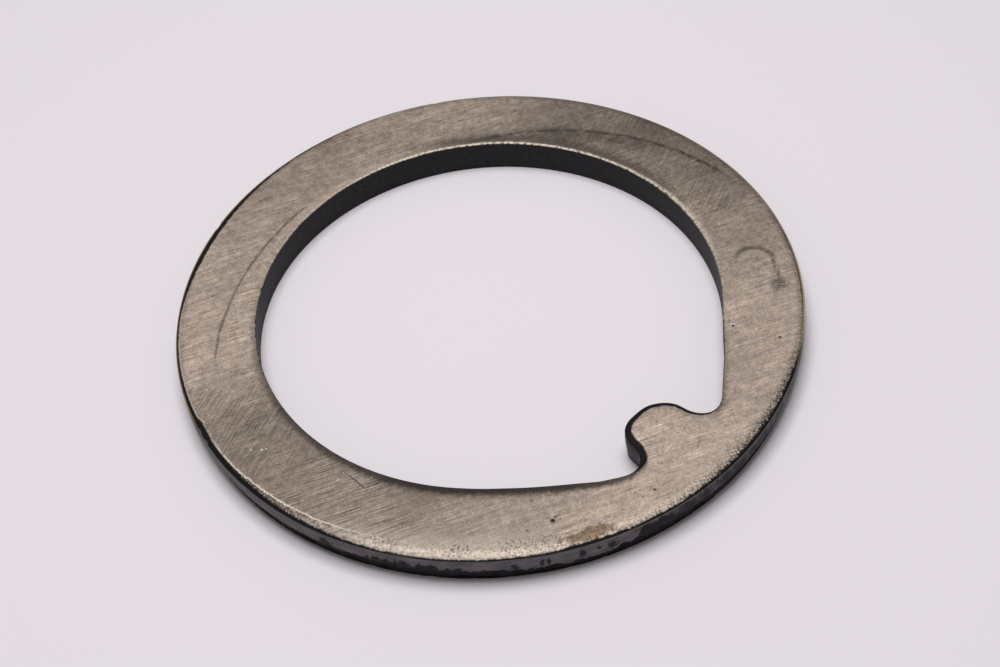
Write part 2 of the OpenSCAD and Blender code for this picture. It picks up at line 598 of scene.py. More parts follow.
# Single scratches: (x, y, direction, half length, half width, change of tone)
SCRATCHES = [
    (24.95, -1.15, 96, 1.1, 0.08, 0.30),
    (25.25, -0.9, 94, 0.7, 0.06, 0.20),
    (26.4, 1.15, 118, 0.9, 0.09, -0.28),
    (7.7, -22.9, 2, 1.7, 0.10, -0.55),
    (12.0, -25.8, 71, 4.6, 0.10, -0.30),
    (11.0, -24.6, 70, 4.2, 0.09, -0.30),
    (13.6, -24.2, 72, 3.0, 0.08, -0.30),
    (14.6, -23.4, 70, 2.2, 0.08, 0.40),
    (5.0, -25.6, 66, 3.4, 0.07, 0.25),
    (18.0, -18.8, 66, 2.6, 0.07, -0.20),
]
TONE_LOW, TONE_MIDDLE, TONE_HIGH = -0.1, 0.5, 1.1
# How bright the face is, as a share: by angle, and in single parts (radius, angle, inner, outer,
# change)
FACE_SHADE = [
    (-180, 1.00), (-160, 1.12), (-140, 1.20), (-120, 1.26), (-107, 0.84), (-100, 0.66), (-80, 0.73),
    (-60, 0.82), (-40, 0.94), (-20, 1.10), (0, 1.26), (20, 1.12), (40, 1.26), (60, 0.96),
    (80, 0.86), (100, 0.67), (120, 0.68), (140, 1.12), (160, 1.09), (180, 1.00),
]
FACE_PARTS = [
    (30.8, 82, 2, 8, -0.30),
    (30.5, 100, 2, 6, -0.25),
    (22.8, 118, 1, 5, -0.16),
    (22.6, 140, 1, 4, -0.25),
    (30.4, 172, 1, 5, -0.22),
    (30.4, -168, 1, 5, -0.14),
    (22.8, -58, 1, 5, -0.25),
    (29.5, -18, 1, 5, 0.12),
]
# The patch noise sways it from the first share by the second
PATCH_SHADE = (0.84, 0.32)


def grooves(s, at, direction, along, across, detail, rough):
    """Noise drawn out into lines."""
    drawn_out = s.scale(s.turned(at.point, direction), (along, across, 0))
    return s.noise(drawn_out, 1.0, detail, rough)


def ground_face(s, at):
    """Ground steel: fine lines in one direction, a second set across them in places, and single
    scratches. The second value is its relief."""
    lines, sparse = grooves(s, at, *LINES), grooves(s, at, *SPARSE)
    hatched = s.plus(HATCH_LEAST, s.mul(1 - HATCH_LEAST, s.blobs(at.point, HATCHED)))
    lined = s.plus(s.ramp(at.patch, *LINED_RANGE), s.blobs(at.point, LINED))
    tone = TONE_MIDDLE
    for weight, noise in [
        (s.mul(lined, LINES_SHARE), lines),
        (s.mul(lined, COARSE_SHARE), grooves(s, at, *COARSE)),
        (MOTTLE_SHARE, at.mottle),
        (FINE_SHARE, at.fine),
        (GRAIN_SHARE, at.grain),
        (s.mul(hatched, HATCH_SHARE), grooves(s, at, *HATCH)),
    ]:
        tone = s.plus(tone, s.sway(weight, noise))
    tone = s.plus(tone, s.mul(lined, s.ramp(sparse, *BRIGHT_LINES_RANGE)))
    tone = s.minus(tone, s.mul(lined, s.ramp(sparse, *DARK_LINES_RANGE)))
    for x, y, a, half, wide, change in SCRATCHES:
        tone = s.plus(tone, s.mul(change, s.stroke(at.point, x, y, a, half, wide)))
    tone = s.most(s.math("MINIMUM", tone, TONE_HIGH), TONE_LOW)
    colour = s.mix(s.add("MapRange", tone, TONE_LOW, TONE_MIDDLE), GROUND_DARK, GROUND)
    colour = s.mix(s.add("MapRange", tone, TONE_MIDDLE, TONE_HIGH), colour, GROUND_BRIGHT)
    of_lines, of_fine, of_sparse = RELIEF_SHARES
    relief = s.plus(s.mul(of_fine, at.fine), s.mul(of_sparse, sparse))
    relief = s.plus(s.mul(of_lines, lines), relief)
    return colour, relief


def shaded(s, at, colour):
    """The face's broad lighter and darker parts."""
    share = s.profile(at.angle, FACE_SHADE)
    for r, a, inner, outer, change in FACE_PARTS:
        away = s.distance(at.point, *(r * unit(a)))
        share = s.mul(share, s.ramp(away, inner, outer, 1 + change, 1.0))
    least, more = PATCH_SHADE
    share = s.mul(share, s.plus(least, s.mul(more, at.patch)))
    return s.add("VectorMath", colour, None, None, share, operation="SCALE")


# Marks on the face

WORN_DARK = rgb(48, 45, 43)
# Rubbed arcs: (centre x, centre y, radius, half width, soft edge, strength, where they show)
ARCS = [
    (4.86, 3.02, 25.27, 0.10, 0.25, 0.72, [(25.0, 116, 9, 15, 1.0), (27.3, 92, 3.5, 8, 1.0)]),
    (4.2, 2.2, 25.1, 0.35, 0.9, 0.42, [(25.0, 118, 7, 13, 1.0)]),
    (-0.99, -1.54, 23.3, 0.15, 0.8, 0.22, [(23.6, 148, 3.5, 7.5, 1.0)]),
    (6.66, -0.55, 29.94, 0.05, 0.16, 0.60, [(24.0, -158, 4, 6, 1.0), (25.2, -136, 6.5, 8.5, 1.0)]),
    (15.3, 21.0, 1.98, 0.10, 0.30, 0.62, [(26.4, 57.6, 1.7, 2.5, 1.0)]),
]
ARC_WANDER = 0.35
ARC_BREAK_NOISE = (1.8, 3, 0.6)
ARC_BREAK_RANGE = (0.36, 0.56, 0.45, 1.0)
# Tail of the small arc, (x, y, direction, half length, half width), and the smudge at its end,
# (radius, angle, inner, outer)
ARC_TAIL = (17.4, 21.8, -34.0, 2.0, 0.40)
TAIL_SHARE, TAIL_WARP = 0.65, 1.5
SMUDGE = (27.9, 47.2, 0.2, 1.3)
SMUDGE_RANGE = (0.62, 0.46, 0.1, 0.8)
# Rust specks, pits with a painted highlight at the big one, and bright nicks: (radius, angle,
# inner, outer, colour)
PIT, PIT_RIM, NICK = rgb(40, 36, 34), rgb(104, 94, 86), rgb(202, 193, 181)
SPOTS = [
    (26.95, -30.7, 0.10, 0.32, PIT),
    (26.65, -30.1, 0.05, 0.22, rgb(84, 76, 70)),
    (27.0, -29.3, 0.03, 0.18, rgb(120, 110, 100)),
    # A painted highlight on the edge of the big pit
    (26.35, -30.5, 0.02, 0.20, rgb(190, 178, 164)),
    (24.42, -33.8, 0.04, 0.20, PIT_RIM),
    (27.70, -11.1, 0.04, 0.19, rgb(52, 47, 44)),
    (27.77, -13.7, 0.03, 0.15, PIT_RIM),
    (27.07, -14.4, 0.04, 0.20, rgb(140, 129, 118)),
    (27.53, -35.6, 0.04, 0.16, rgb(80, 72, 66)),
    (23.55, 35.0, 0.07, 0.18, PIT),
    (28.0, 33.3, 0.08, 0.24, rgb(104, 70, 44)),
    (29.17, -10.2, 0.05, 0.20, rgb(150, 112, 72)),
    (24.78, -75.1, 0.04, 0.16, NICK),
    (27.35, -94.1, 0.04, 0.14, NICK),
    (26.61, -92.7, 0.05, 0.16, NICK),
    (26.28, -92.3, 0.04, 0.13, NICK),
    (27.73, -125.8, 0.04, 0.18, NICK),
]


def wear_arcs(s, at, colour):
    """Arcs that the turning parts rubbed into the face, as dark lines and the shade beside them."""
    wander = s.sway(ARC_WANDER, at.patch)
    worn = 0.0
    for x, y, r, half, soft, strength, places in ARCS:
        away = s.minus(s.plus(s.distance(at.point, x, y), wander), r)
        line = s.mul(s.ridge(away, half, half + soft), s.blobs(at.point, places))
        worn = s.most(worn, s.mul(line, strength))
    tail = s.stroke(at.point, *ARC_TAIL, s.sway(TAIL_WARP, at.fine))
    worn = s.most(worn, s.mul(TAIL_SHARE, tail))
    worn = s.mul(worn, s.ramp(s.noise(at.point, *ARC_BREAK_NOISE), *ARC_BREAK_RANGE))
    smudge = s.mul(s.blob(at.point, *SMUDGE), s.ramp(at.speckle, *SMUDGE_RANGE))
    return s.mix(s.most(worn, smudge), colour, WORN_DARK)


def spots(s, at, colour):
    for r, a, inner, outer, paint in SPOTS:
        colour = s.mix(s.blob(at.point, r, a, inner, outer), colour, paint)
    return colour


# The hole's rolled edge and its wall

# How wide the dark shade is along the edge, and how dark, by angle
SHADE = rgb(64, 58, 54)
SHADE_W = [
    (-121, 0.50), (-85, 0.75), (-57, 1.05), (-26, 1.05), (-16, 0.65), (10, 0.3), (40, 0.35),
    (70, 0.6), (85, 1.0), (147, 1.0), (170, 0.4),
]
SHADE_SHARE = [
    (-180, 0.1), (-140, 0.1), (-121, 0.35), (-85, 0.7), (-57, 0.95), (-26, 0.95), (-16, 0.8),
    (10, 0.5), (40, 0.1), (70, 0.15), (88, 0.65), (115, 0.8), (147, 0.75), (165, 0.3), (180, 0.1),
]
SHADE_RANGE = (0.5, 1.5)
# How ragged an edge is, from the speckle and from the mottle
SHADE_RAG = (0.7, 0.6)
KEY_ROLL_RAG = (0.22, 0.25)
LIP_RAG = 0.35
# How wide the bright lip is, and how bright, by angle: bare worn metal, widest to the right as a
# painted highlight where the rolled edge faces the light. On the left it breaks up into sparks.
LIP_W = [
    (-180, 0.15), (-120, 0.14), (20, 0.20), (50, 0.30), (75, 0.42), (90, 0.26), (105, 0.18),
    (160, 0.17), (180, 0.14),
]
LIP_SHARE = [(15, 0.0), (35, 0.3), (70, 0.75), (100, 0.95), (170, 0.9), (180, 0.6)]
LEFT_LIP_SHARE, LEFT_LIP_A = 0.55, (-128, -150)
LIP_INNER, LIP_OUTER, LIP_SOFT = 0.4, 1.6, 0.05
LIP_BREAK_RANGE = (0.38, 0.56, 0.3, 1.0)
# Width of the black roll round the key, by y, and where it lies (radius, angle, inner, outer)
KEY_ROLL_W = [
    (-5.6, 0.2), (-4.4, 0.38), (-3.2, 0.62), (-1.5, 0.60), (0, 0.54), (2, 0.50), (3.2, 0.40),
    (4.6, 0.22), (5.6, 0.1),
]
KEY_PLACE = (22.5, 0, 5.0, 6.5)
KEY_ROLL_EDGE = (-0.06, 0.10)
PLAIN_ROLL_W = 0.05
# The wall: black, with brown specks, and dusty beside the key
SOOT = (rgb(20, 20, 23), rgb(52, 51, 55))
SOOT_NOISE = (2.2, 4, 0.6)
RUST, RUST_NOISE, RUST_RANGE = rgb(96, 62, 36), (5.0, 1, 0.5), (0.71, 0.76)
DUSTY, DUSTY_RANGE = rgb(72, 70, 72), (0.35, 0.65)
DUSTY_PLACE, DUSTY_EDGE = (22.5, -6, 3.0, 4.5), (3.2, 2.6)


def ragged_hole(s, at, of_speckle, of_mottle):
    """Distance from the hole's edge, with a ragged sway."""
    return s.plus(at.hole_d, s.plus(s.sway(of_speckle, at.speckle), s.sway(of_mottle, at.mottle)))


def hole_shade(s, at, colour):
    """Soft, speckled dark along the edge."""
    reach = s.math("DIVIDE", ragged_hole(s, at, *SHADE_RAG), s.profile(at.angle, SHADE_W))
    share = s.mul(s.fall(reach, *SHADE_RANGE), s.profile(at.angle, SHADE_SHARE))
    return s.mix(share, colour, SHADE)


def hole_lip(s, at):
    """Share of the bright lip: bare worn metal, and a painted highlight where the rolled edge faces
    the light.
    """
    width = s.profile(at.angle, LIP_W)
    left = s.mul(LEFT_LIP_SHARE, s.ramp(at.angle, *LEFT_LIP_A))
    share = s.most(s.profile(at.angle, LIP_SHARE), left)
    ragged = s.plus(at.hole_d, s.sway(LIP_RAG, at.speckle))
    outer = s.plus(s.mul(LIP_OUTER, width), LIP_SOFT)
    lip = s.fall(ragged, s.mul(LIP_INNER, width), outer)
    return s.mul(s.mul(lip, share), s.ramp(at.fine, *LIP_BREAK_RANGE))


def key_roll(s, at):
    """Share of oxide on the roll round the key."""
    width = s.blend(s.blob(at.point, *KEY_PLACE), PLAIN_ROLL_W, s.profile(at.y, KEY_ROLL_W))
    return s.fall(s.minus(ragged_hole(s, at, *KEY_ROLL_RAG), width), *KEY_ROLL_EDGE)


def hole_edge(s, at, colour):
    """The hole's rolled edge. The second value is the share of oxide."""
    colour = hole_shade(s, at, colour)
    lip = hole_lip(s, at)
    # The lip: bare metal, with a painted highlight where the roll faces the light
    colour = s.mix(lip, colour, BARE_AND_LIP_HIGHLIGHT)
    oxide = s.mul(key_roll(s, at), s.inverse(lip))
    return s.mix(oxide, colour, OXIDE), oxide


def hole_wall(s, at):
    colour = s.mix(s.noise(at.point, *SOOT_NOISE), *SOOT)
    colour = s.mix(s.ramp(s.noise(at.point, *RUST_NOISE), *RUST_RANGE), colour, RUST)
    dusty = s.mul(s.blob(at.point, *DUSTY_PLACE), s.ramp(at.z, *DUSTY_EDGE))
    return s.mix(s.mul(dusty, s.ramp(at.fine, *DUSTY_RANGE)), colour, DUSTY)


# The rim's rolled edge

# Width of the black outer line, and how ragged it is, by angle
BLACK_W = [
    (-180, 0.48), (-172, 0.60), (-165, 0.74), (-154, 0.80), (-147, 0.74), (-140, 0.55),
    (-133, 0.32), (-124, 0.28), (-112, 0.40), (-107, 0.44), (-106, 0.64), (-102, 0.64),
    (-101, 0.52), (-90, 0.48), (-82, 0.36), (-70, 0.24), (-60, 0.15), (-32, 0.15), (-29.5, 0.27),
    (-22, 0.24), (-18, 0.18), (-5, 0.22), (3, 0.28), (12, 0.36), (25, 0.32), (32, 0.20),
    (42, 0.06), (140, 0.04), (160, 0.20), (170, 0.34), (180, 0.48),
]
BLACK_RAG = [
    (-170, 0.5), (-140, 0.3), (-125, 0.12), (-100, 0.22), (-88, 0.5), (-70, 0.5), (-60, 0.3),
    (-35, 0.35), (-20, 0.5), (0, 0.8), (15, 1.2), (30, 0.5), (60, 0.1),
]
BLACK_EDGE = (-0.07, 0.08)
RAG_WANDER, RAG_SHARE = 0.8, 0.5
# Width of the bare band inside it, and how bare it is
BAND_W = [
    (-125, 0.12), (-90, 0.18), (-82, 0.35), (-72, 0.65), (-62, 1.1), (-40, 1.2), (-25, 1.0),
    (-5, 0.8), (10, 0.5),
]
BAND_SHARE = [
    (-180, 0.0), (-150, 0.3), (-125, 0.35), (-104, 0.6), (-90, 0.85), (-84, 0.95), (-40, 0.85),
    (-28, 0.75), (-15, 0.65), (0, 0.4), (15, 0.1), (45, 0.0), (150, 0.0),
]
# Across it, as shares of its width: the pitted band, and the skirt that fades into the face
BAND_WANDER = 0.9
BAND_EDGE = (0.55, 1.35)
PITTED_NOISE, PITTED_RANGE = (3.0, 4, 0.75), (0.38, 0.62)
PITTED_SHARES = (0.22, 0.88)
SKIRT_INNER, SKIRT_OUTER = (2.4, 1.3), (0.5, 1.3)
SKIRT_SHARE = [(-75, 0.0), (-62, 0.22), (-38, 0.28), (-28, 0.0)]
# Pits in the band, and their clusters, which raise the level of noise under which pits lie:
# (radius, angle, inner, outer, strength)
BAND_PIT, PITS_SHARE, PITS_EDGE = rgb(70, 62, 57), 0.85, (1.9, 1.1)
PITS_FROM, PITS_TO, PITS_MORE = 0.36, 0.37, 0.16
CLUSTER_SHARE, CLUSTER_RANGE = 0.6, (0.48, 0.60)
BAND_PITS = [(29.2, -35, 2.0, 4.0, 1.0), (29.6, -60, 0.6, 2.0, 1.0), (29.2, -47.6, 0.5, 1.4, 1.0)]
# To the left: distance of the bright line from the rim, how bright it is, and how dark it is
# outside the line
BRIGHT_LINE, DUSKY = rgb(228, 216, 200), rgb(56, 50, 48)
LINE_D = [(-125, 0.40), (-100, 0.50), (-95, 0.58), (-85, 0.74), (-75, 0.94), (-60, 1.25)]
LINE_SHARE = [(-125, 0.3), (-103, 0.5), (-95, 0.75), (-74, 0.65), (-64, 0.3), (-55, 0.0)]
LINE_WANDER, LINE_EDGE = 0.4, (0.03, 0.12)
DUSKY_SHARE = [(-100, 1.0), (-84, 0.95), (-72, 0.6), (-60, 0.0)]
DUSKY_EDGE, DUSKY_RANGE = (0.0, -0.08), (0.64, 0.46, 0.25, 0.92)
# To the right: how many dark specks break up the band
DARK_SPECK = rgb(58, 52, 49)
SPECK_SHARE = [(-35, 0.0), (-12, 0.5), (2, 0.85), (22, 0.9), (32, 0.4), (60, 0.3), (70, 0.0)]
SPECK_EDGE, SPECK_RANGE = (0.85, 0.15), (0.60, 0.44)
# Brown stain: (radius, angle), its direction, half length and half width, and its tan flecks
STAIN_AT = (29.25, -25.2)
STAIN_SHAPE, STAIN_WARP = (66.0, 3.1, 0.72), 1.4
STAIN, TAN = (rgb(84, 70, 56), rgb(134, 114, 90)), rgb(196, 146, 88)
STAIN_SHARE, STAIN_EDGE, STAIN_RANGE = 0.88, (0.0, 0.7), (0.35, 0.65)
TAN_SHARE, TAN_EDGE, TAN_RANGE = 0.75, (0.3, 0.9), (0.56, 0.66)
TAN_PLACE = (29.1, -24.0, 0.6, 1.8)
# Thin lines outside the black one: dark on the right, and painted highlights where the edge catches
# the light, bronze at the far side and gold on the left
HAIR, HAIR_D, HAIR_EDGE = rgb(60, 52, 48), 0.27, (0.04, 0.14)
HAIR_SHARE = [(28, 0.0), (44, 0.8), (62, 0.8), (72, 0.0)]
HAIR_BREAK_RANGE = (0.36, 0.54, 0.3, 1.0)
BRONZE_HIGHLIGHT, BRONZE_SHARE = rgb(222, 198, 168), 0.75
BRONZE_PLACE, BRONZE_EDGE = (RIM_R, 90, 24, 32), (0.10, 0.24)
GOLD_HIGHLIGHT, GOLD_SHARE = rgb(158, 128, 94), 0.9
GOLD_PLACE, GOLD_SOFT = (RIM_R, -150, 20, 26), 1.7
GOLD_W = [(-180, 0.20), (-150, 0.16), (-125, 0.10)]


class RimRoll:
    """Where a point of the rim's rolled edge lies in its bands."""

    def __init__(self, s, at):
        self.inside = s.minus(at.rim_d, s.profile(at.angle, BLACK_W))
        self.wander = s.plus(s.minus(at.mottle, 0.5), s.minus(at.fine, 0.5))
        soft = s.plus(self.inside, s.mul(BAND_WANDER, self.wander))
        self.across_band = s.math("DIVIDE", soft, s.profile(at.angle, BAND_W))
        self.bare = s.profile(at.angle, BAND_SHARE)


def bare_band(s, at, roll, colour):
    """Bare pitted metal along the front, which fades slowly into the face there."""
    band = s.mul(s.fall(roll.across_band, *BAND_EDGE), roll.bare)
    pitted = s.ramp(s.noise(at.point, *PITTED_NOISE), *PITTED_RANGE)
    colour = s.mix(s.mul(band, s.blend(pitted, *PITTED_SHARES)), colour, BARE_AND_LIP_HIGHLIGHT)
    skirt = s.ramp(roll.across_band, *SKIRT_OUTER)
    skirt = s.mul(s.ramp(roll.across_band, *SKIRT_INNER), skirt)
    colour = s.mix(s.mul(skirt, s.profile(at.angle, SKIRT_SHARE)), colour, BARE_AND_LIP_HIGHLIGHT)
    # Pits, in clusters, most of them along the band's inner border
    cluster = s.mul(CLUSTER_SHARE, s.ramp(at.mottle, *CLUSTER_RANGE))
    cluster = s.most(cluster, s.blobs(at.point, BAND_PITS))
    pits = s.fall(at.speckle, PITS_FROM, s.plus(PITS_TO, s.mul(PITS_MORE, cluster)))
    pits = s.mul(pits, s.mul(s.ramp(roll.across_band, *PITS_EDGE), roll.bare))
    return s.mix(s.mul(pits, PITS_SHARE), colour, BAND_PIT)


def left_band(s, at, roll, colour):
    """To the left the band is dark and speckled, inside a bright line."""
    line_at = s.plus(s.profile(at.angle, LINE_D), s.mul(LINE_WANDER, roll.wander))
    to_line = s.minus(at.rim_d, line_at)
    dusky = s.mul(s.ramp(to_line, *DUSKY_EDGE), s.profile(at.angle, DUSKY_SHARE))
    dusky = s.mul(dusky, s.ramp(at.speckle, *DUSKY_RANGE))
    colour = s.mix(dusky, colour, DUSKY)
    line = s.mul(s.ridge(to_line, *LINE_EDGE), s.profile(at.angle, LINE_SHARE))
    return s.mix(line, colour, BRIGHT_LINE)


def stain(s, at, colour):
    """A brown stain over the rolled edge, with tan flecks."""
    r, a = STAIN_AT
    warp = s.sway(STAIN_WARP, at.mottle)
    place = s.stroke(at.point, *(r * unit(a)), *STAIN_SHAPE, warp)
    brown = s.mix(s.ramp(at.fine, *STAIN_RANGE), *STAIN)
    colour = s.mix(s.mul(s.ramp(place, *STAIN_EDGE), STAIN_SHARE), colour, brown)
    flecks = s.mul(s.ramp(place, *TAN_EDGE), s.ramp(at.speckle, *TAN_RANGE))
    flecks = s.mul(flecks, s.blob(at.point, *TAN_PLACE))
    return s.mix(s.mul(flecks, TAN_SHARE), colour, TAN)


def dark_specks(s, at, roll, colour):
    """Dark specks where the band breaks up, to the right."""
    share = s.mul(s.ramp(roll.inside, *SPECK_EDGE), s.profile(at.angle, SPECK_SHARE))
    return s.mix(s.mul(share, s.ramp(at.speckle, *SPECK_RANGE)), colour, DARK_SPECK)


def thin_lines(s, at, colour):
    """Thin lines at the outermost edge, where the rim turns away: a dark one, and bronze and gold
    painted highlights where the edge catches the light.
    """
    hair = s.ridge(s.minus(at.rim_d, HAIR_D), *HAIR_EDGE)
    hair = s.mul(s.profile(at.angle, HAIR_SHARE), hair)
    colour = s.mix(s.mul(hair, s.ramp(at.fine, *HAIR_BREAK_RANGE)), colour, HAIR)
    # Painted highlights where the rim's edge catches the light: bronze at the far side, gold on the
    # left
    bronze_highlight = s.mul(s.blob(at.point, *BRONZE_PLACE), s.fall(at.rim_d, *BRONZE_EDGE))
    colour = s.mix(s.mul(bronze_highlight, BRONZE_SHARE), colour, BRONZE_HIGHLIGHT)
    width = s.profile(at.angle, GOLD_W)
    gold_highlight = s.fall(at.rim_d, width, s.mul(GOLD_SOFT, width))
    gold_highlight = s.mul(s.blob(at.point, *GOLD_PLACE), gold_highlight)
    return s.mix(s.mul(gold_highlight, GOLD_SHARE), colour, GOLD_HIGHLIGHT)


def rim_edge(s, at, colour):
    """The rim's rolled edge: a black outer line, which widens to the left and the right, and what
    lies inside it. The second value is the share of oxide."""
    roll = RimRoll(s, at)
    colour = bare_band(s, at, roll, colour)
    colour = left_band(s, at, roll, colour)
    colour = stain(s, at, colour)
    colour = dark_specks(s, at, roll, colour)
    rag = s.plus(s.minus(at.speckle, 0.5), s.mul(RAG_WANDER, roll.wander))
    rag = s.mul(s.profile(at.angle, BLACK_RAG), s.mul(RAG_SHARE, rag))
    oxide = s.fall(s.plus(roll.inside, rag), *BLACK_EDGE)
    colour = s.mix(oxide, colour, OXIDE)
    return thin_lines(s, at, colour), oxide


# The rim's wall

# Torn steel, and the greyer marks in it to the right
TORN, TORN_GREY = rgb(20, 20, 24), rgb(42, 41, 46)
TORN_GREY_A, TORN_GREY_RANGE = (-9, -6), (0.40, 0.70)
# Height of the torn band's top, by angle, and the teeth in which it climbs
TORN_TOP = [
    (-180, 1.1), (-130, 0.8), (-106, 1.1), (-97, 1.7), (-88, 1.75), (-75, 1.40), (-66, 1.7),
    (-62, 2.35), (-53, 2.3), (-47, 2.0), (-38, 1.45), (-35, 1.1), (-18.2, 1.1), (-17.4, 3.0),
    (-10.4, 2.95), (-9.4, 1.9), (3, 1.5), (25, 1.6), (120, 1.6), (180, 1.1),
]
CLIMB_STRETCH, CLIMB_NOISE = (1.0, 0.35, 0), (1.15, 4, 0.65)
CLIMB_H, CLIMB_EDGE = 2.8, (-0.14, 0.12)
# Black blotches over it: (angle, height, half width, half height)
BLOTCHES = [
    (-71.0, 2.0, 0.95, 0.85),
    (-57.0, 2.2, 0.5, 0.55),
    (-52.4, 2.0, 0.45, 0.5),
    (-38.4, 1.9, 0.45, 0.85),
    (-34.0, 2.1, 0.24, 0.8),
    (-32.9, 2.1, 0.28, 0.85),
    (-27.2, 2.2, 0.45, 0.80),
    (-24.3, 2.4, 0.35, 0.30),
    (-22.0, 2.2, 0.55, 0.95),
    (-7.0, 2.1, 0.9, 0.9),
    (-3.6, 2.3, 0.9, 0.95),
    (1.2, 2.3, 1.2, 1.0),
    (5.0, 2.2, 0.8, 0.9),
    (8.6, 2.3, 1.0, 0.8),
    (12.8, 2.3, 0.6, 0.7),
]
BLOTCH_SHARE, BLOTCH_EDGE = 0.88, (0.0, 0.8)
# How the fine noise and the speckle warp them
BLOTCH_WARP = (1.8, 1.2)
# Marks that run down the wall, and the angles over which they fade out behind
RUNS_STRETCH, RUNS_NOISE = (1.8, 1.8, 0.3), (1.0, 3, 0.6)
BEHIND_A = (160, 40)
# The satin band: its streaked greys, the grey to the left, and the smoky ones to the right
SATIN = (rgb(88, 83, 87), rgb(116, 110, 114))
STREAK_STRETCH, STREAK_NOISE, STREAK_RANGE = (0.5, 3.5, 0), (1.0, 3, 0.6), (0.3, 0.7)
SATIN_LEFT, LEFT_SHARE, LEFT_A = rgb(100, 94, 92), 0.6, (-60, -92)
SATIN_RIGHT, RIGHT_SHARE, RIGHT_A = rgb(58, 56, 62), 0.5, (-12, -6)
SMOKE, SMOKE_SHARE, SMOKE_A, SMOKE_RANGE = rgb(30, 29, 32), 0.75, (-22, -8), (0.42, 0.56)
# Just under the rolled edge: dark, with a bronze painted highlight line to the right, where the
# wall's top edge catches the light
UNDER_ROLL, UNDER_SHARE, UNDER_EDGE = rgb(40, 37, 37), 0.5, (3.05, 3.3)
UPPER_HIGHLIGHT, UPPER_SHARE, UPPER_EDGE = rgb(126, 112, 99), 0.95, (3.08, 3.18)
UPPER_START_A, UPPER_END_A = (-34, -20), (42, 28)


def torn_band(s, at, unrolled):
    """Share of the torn band, whose top climbs in teeth, and of the blotches that reach up."""
    teeth = s.noise(s.scale(unrolled, CLIMB_STRETCH), *CLIMB_NOISE)
    above = s.minus(at.z, s.profile(at.angle, TORN_TOP))
    torn = s.fall(s.plus(above, s.sway(CLIMB_H, teeth)), *CLIMB_EDGE)
    of_fine, of_speckle = BLOTCH_WARP
    warp = s.plus(s.sway(of_fine, at.fine), s.sway(of_speckle, at.speckle))
    for a, z, wide, tall in BLOTCHES:
        oval = s.stroke(unrolled, math.radians(a) * RIM_R, z, 0.0, wide, tall, warp)
        torn = s.most(torn, s.mul(BLOTCH_SHARE, s.ramp(oval, *BLOTCH_EDGE)))
    return torn


def satin_band(s, at, unrolled, runs, behind):
    """Colour of the satin sheared band."""
    streak = s.noise(s.scale(unrolled, STREAK_STRETCH), *STREAK_NOISE)
    grey = s.mix(s.ramp(streak, *STREAK_RANGE), *SATIN)
    grey = s.mix(s.mul(s.ramp(at.angle, *LEFT_A), LEFT_SHARE), grey, SATIN_LEFT)
    right = s.mul(s.ramp(at.angle, *RIGHT_A), behind)
    grey = s.mix(s.mul(right, RIGHT_SHARE), grey, SATIN_RIGHT)
    smoky = s.mul(s.ramp(at.angle, *SMOKE_A), s.ramp(runs, *SMOKE_RANGE))
    grey = s.mix(s.mul(s.mul(smoky, behind), SMOKE_SHARE), grey, SMOKE)
    grey = s.mix(s.mul(UNDER_SHARE, s.ramp(at.z, *UNDER_EDGE)), grey, UNDER_ROLL)
    # A painted highlight along the wall's top edge, to the right
    upper_highlight = s.mul(s.ramp(at.angle, *UPPER_START_A), s.ramp(at.angle, *UPPER_END_A))
    upper_highlight = s.mul(s.ramp(at.z, *UPPER_EDGE), upper_highlight)
    return s.mix(s.mul(upper_highlight, UPPER_SHARE), grey, UPPER_HIGHLIGHT)


def rim_wall(s, at):
    """The rim's wall. The second value is the share that is torn."""
    unrolled = s.add("CombineXYZ", s.mul(math.radians(RIM_R), at.angle), at.z, 0.0)
    runs = s.noise(s.scale(at.point, RUNS_STRETCH), *RUNS_NOISE)
    behind = s.ramp(at.angle, *BEHIND_A)
    torn = torn_band(s, at, unrolled)
    grey_share = s.mul(s.ramp(at.angle, *TORN_GREY_A), behind)
    black = s.mix(s.mul(grey_share, s.ramp(runs, *TORN_GREY_RANGE)), TORN, TORN_GREY)
    return s.mix(torn, satin_band(s, at, unrolled, runs, behind), black), torn


# The whole material

# Where the walls begin, in mm under the foot of the rolls, and where they lie, in mm from the
# hole's edge
RIM_WALL_EDGE, HOLE_WALL_EDGE = (0.01, 0.05), (0.0, 0.04)
ON_RIM_EDGE, IN_HOLE_EDGE = (3.0, 3.5), (1.0, 0.9)
# How metallic and rough it is where bare, and where dark, and how dark the satin band counts
METALLIC = (0.70, 0.30)
BARE_ROUGH, DARK_ROUGH = 0.60, 0.58
ROUGH_SWAY = 0.25
SATIN_DARK = 0.15
SPECULAR = 0.12
# Relief too fine for the mesh: of the face, and, near the rim too, of the rough parts
BUMP_STRENGTH, BUMP_MM = 0.55, 0.04
FACE_RELIEF = 0.35
ROUGH_FINE, ROUGH_MOTTLE = 0.7, 0.5
ROUGH_EDGE = (1.3, 0.9)


def below(s, at, roll, edge):
    """1 under the foot of a roll, with a smooth step."""
    return s.ramp(at.down, roll[1] + edge[0], roll[1] + edge[1])


def relief(s, at, dark, on_rim, ground_relief):
    rough_relief = s.plus(s.mul(ROUGH_FINE, at.fine), s.mul(ROUGH_MOTTLE, at.mottle))
    rough = s.most(s.most(dark, on_rim), s.ramp(at.rim_d, *ROUGH_EDGE))
    return s.blend(rough, s.mul(ground_relief, FACE_RELIEF), rough_relief)


